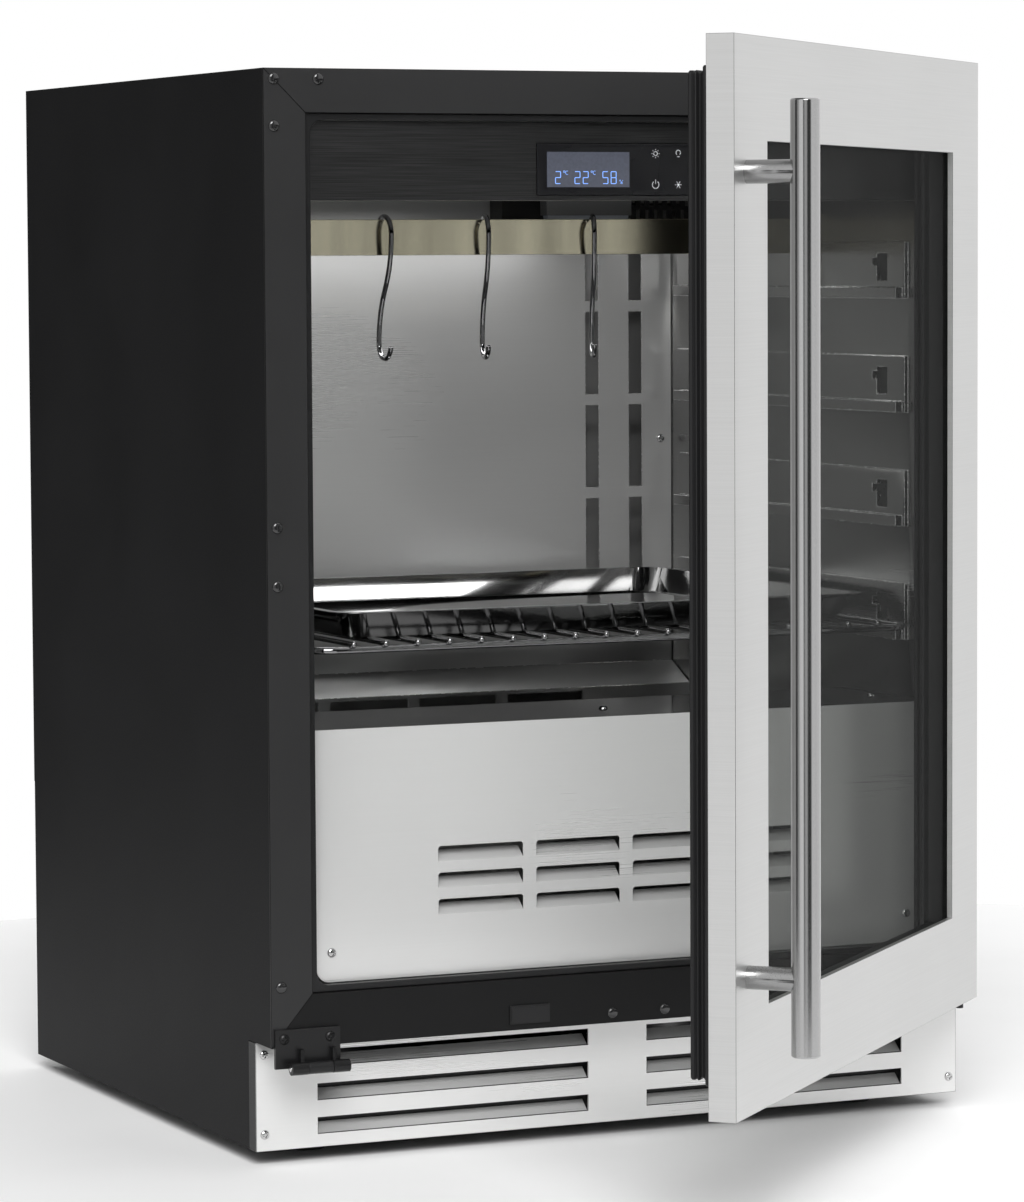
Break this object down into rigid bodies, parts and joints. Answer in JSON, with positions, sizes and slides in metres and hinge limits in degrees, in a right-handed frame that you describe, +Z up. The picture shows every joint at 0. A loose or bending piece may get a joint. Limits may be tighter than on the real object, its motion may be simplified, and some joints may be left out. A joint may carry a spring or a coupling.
{
  "type": "dry-ageing refrigerator cabinet",
  "caption": "Undercounter dry-ageing refrigerator: insulated black cabinet, steel-framed glass door ajar, bar handle, hanging bar with hooks, wire shelf and tray, slotted plinth.",
  "frame": {"origin": "on the floor, at the middle of the width, in the front plane of the cabinet's front frame", "axes": "+Z up, +X to the right as seen from the front, +Y from the front towards the back"},
  "size_m": [0.595, 0.9789, 0.82],
  "materials": {
    "cabinet_black": "flat black powder coat",
    "frame_black": "satin dark grey-black lacquer",
    "trim_black": "fine matt",
    "door_steel": "vertical brushed, satin",
    "cover_steel": "horizontal brushed, satin",
    "liner_steel": "soft rolled sheen",
    "header_black": "black brushed",
    "display_black": "glossy",
    "screen_glass": "dark grey-blue display",
    "housing_plastic": "fine texture",
    "lamp_cover_plastic": "milky",
    "lamp_glass": "clear",
    "gasket_rubber": "soft matt",
    "door_glass": "clear, lightly tinted",
    "handle_steel": "fine brushed, satin",
    "chrome": "bright",
    "bar_steel": "polished",
    "tray_steel": "smooth, bright",
    "screw_steel": "plain",
    "hinge_black": "satin black",
    "foam": "rigid foam",
    "fin_aluminium": "plain",
    "motor_metal": "black enamel",
    "fan_plastic": "moulded",
    "spacer_black": "matt",
    "foot_plastic": "moulded",
    "gland_rubber": "soft matt",
    "pan_plastic": "moulded"
  },
  "bodies": {
    "cabinet": {"left_side_panel": "cabinet_black", "right_side_panel": "cabinet_black", "top_panel": "cabinet_black", "back_cover": "cabinet_black", "rear_access_cover": "cabinet_black", "base_pan": "frame_black", "insulation": "foam", "frame_left": "frame_black", "frame_right": "frame_black", "frame_top": "frame_black", "frame_bottom": "frame_black", "opening_trim": "trim_black", "frame_caps": "trim_black", "liner_wrap": "liner_steel", "liner_left_wall": "liner_steel", "liner_right_wall": "liner_steel", "back_duct_cover": "liner_steel", "lower_cover": "cover_steel", "header_panel": "header_black", "display_module": "display_black", "display_screen": "screen_glass", "fan_housing": "housing_plastic", "uvc_lamp_cover": "lamp_cover_plastic", "uvc_lamp": "lamp_glass", "circulation_fan_motor": "motor_metal", "evaporator": "fin_aluminium", "hanging_bar": "bar_steel", "bar_brackets": "bar_steel", "kick_plate": "cover_steel", "support_bracket": "hinge_black", "roller_pin": "screw_steel", "top_hinge": "hinge_black", "bottom_hinge": "hinge_black", "cabinet_screws": "screw_steel", "hinge_screws": "hinge_black", "compressor": "motor_metal", "condenser": "fin_aluminium", "condenser_fan_motor": "motor_metal", "drain_pan": "pan_plastic", "power_gland": "gland_rubber"},
    "door": {"door_skin": "door_steel", "door_liner": "trim_black", "door_glass": "door_glass", "glass_spacer": "spacer_black", "door_gasket": "gasket_rubber", "hinge_bushes": "trim_black", "handle_bar": "handle_steel", "handle_posts": "handle_steel"},
    "shelf": {"wire_shelf": "chrome"},
    "tray": {"drip_tray": "tray_steel"},
    "hook_left": {"hook_left": "chrome"},
    "hook_middle": {"hook_middle": "chrome"},
    "hook_right": {"hook_right": "chrome"},
    "roller": {"support_roller": "trim_black"},
    "circulation_fan": {"circulation_fan_blades": "fan_plastic"},
    "condenser_fan": {"condenser_fan_blades": "fan_plastic"},
    "foot_front_left": {"foot_front_left": "foot_plastic"},
    "foot_front_right": {"foot_front_right": "foot_plastic"},
    "foot_rear_left": {"foot_rear_left": "foot_plastic"},
    "foot_rear_right": {"foot_rear_right": "foot_plastic"}
  },
  "joints": [
    {"name": "door_swing", "type": "hinge", "parent": "cabinet", "child": "door", "pos_m": [0.2616, -0.0365, 0.457], "axis": [0, 0, 1], "range_deg": [-44.3, 45.7], "deforming": ["door_gasket"]},
    {"name": "shelf_slide", "type": "slide", "parent": "cabinet", "child": "shelf", "axis": [0, -1, 0], "range_m": [0, 0.027]},
    {"name": "tray_lift", "type": "slide", "parent": "shelf", "child": "tray", "axis": [0, 0, 1], "range_m": [0, 0.03]},
    {"name": "hook_left_rock", "type": "hinge", "parent": "cabinet", "child": "hook_left", "pos_m": [-0.116, 0.2045, 0.7029], "axis": [1, 0, 0], "range_deg": [-8, 8]},
    {"name": "hook_middle_rock", "type": "hinge", "parent": "cabinet", "child": "hook_middle", "pos_m": [-0.03, 0.2045, 0.7029], "axis": [1, 0, 0], "range_deg": [-8, 8]},
    {"name": "hook_right_rock", "type": "hinge", "parent": "cabinet", "child": "hook_right", "pos_m": [0.064, 0.2045, 0.7029], "axis": [1, 0, 0], "range_deg": [-8, 8]},
    {"name": "roller_spin", "type": "hinge", "parent": "cabinet", "child": "roller", "pos_m": [-0.264, -0.012, 0.079], "axis": [1, 0, 0], "continuous": true},
    {"name": "circulation_fan_spin", "type": "hinge", "parent": "cabinet", "child": "circulation_fan", "pos_m": [0.15, 0.345, 0.715], "axis": [0, 0, 1], "continuous": true},
    {"name": "condenser_fan_spin", "type": "hinge", "parent": "cabinet", "child": "condenser_fan", "pos_m": [-0.15, 0.402, 0.125], "axis": [0, 1, 0], "continuous": true},
    {"name": "foot_front_left_screw", "type": "slide", "parent": "cabinet", "child": "foot_front_left", "axis": [0, 0, -1], "range_m": [0, 0.012]},
    {"name": "foot_front_right_screw", "type": "slide", "parent": "cabinet", "child": "foot_front_right", "axis": [0, 0, -1], "range_m": [0, 0.012]},
    {"name": "foot_rear_left_screw", "type": "slide", "parent": "cabinet", "child": "foot_rear_left", "axis": [0, 0, -1], "range_m": [0, 0.012]},
    {"name": "foot_rear_right_screw", "type": "slide", "parent": "cabinet", "child": "foot_rear_right", "axis": [0, 0, -1], "range_m": [0, 0.012]}
  ]
}
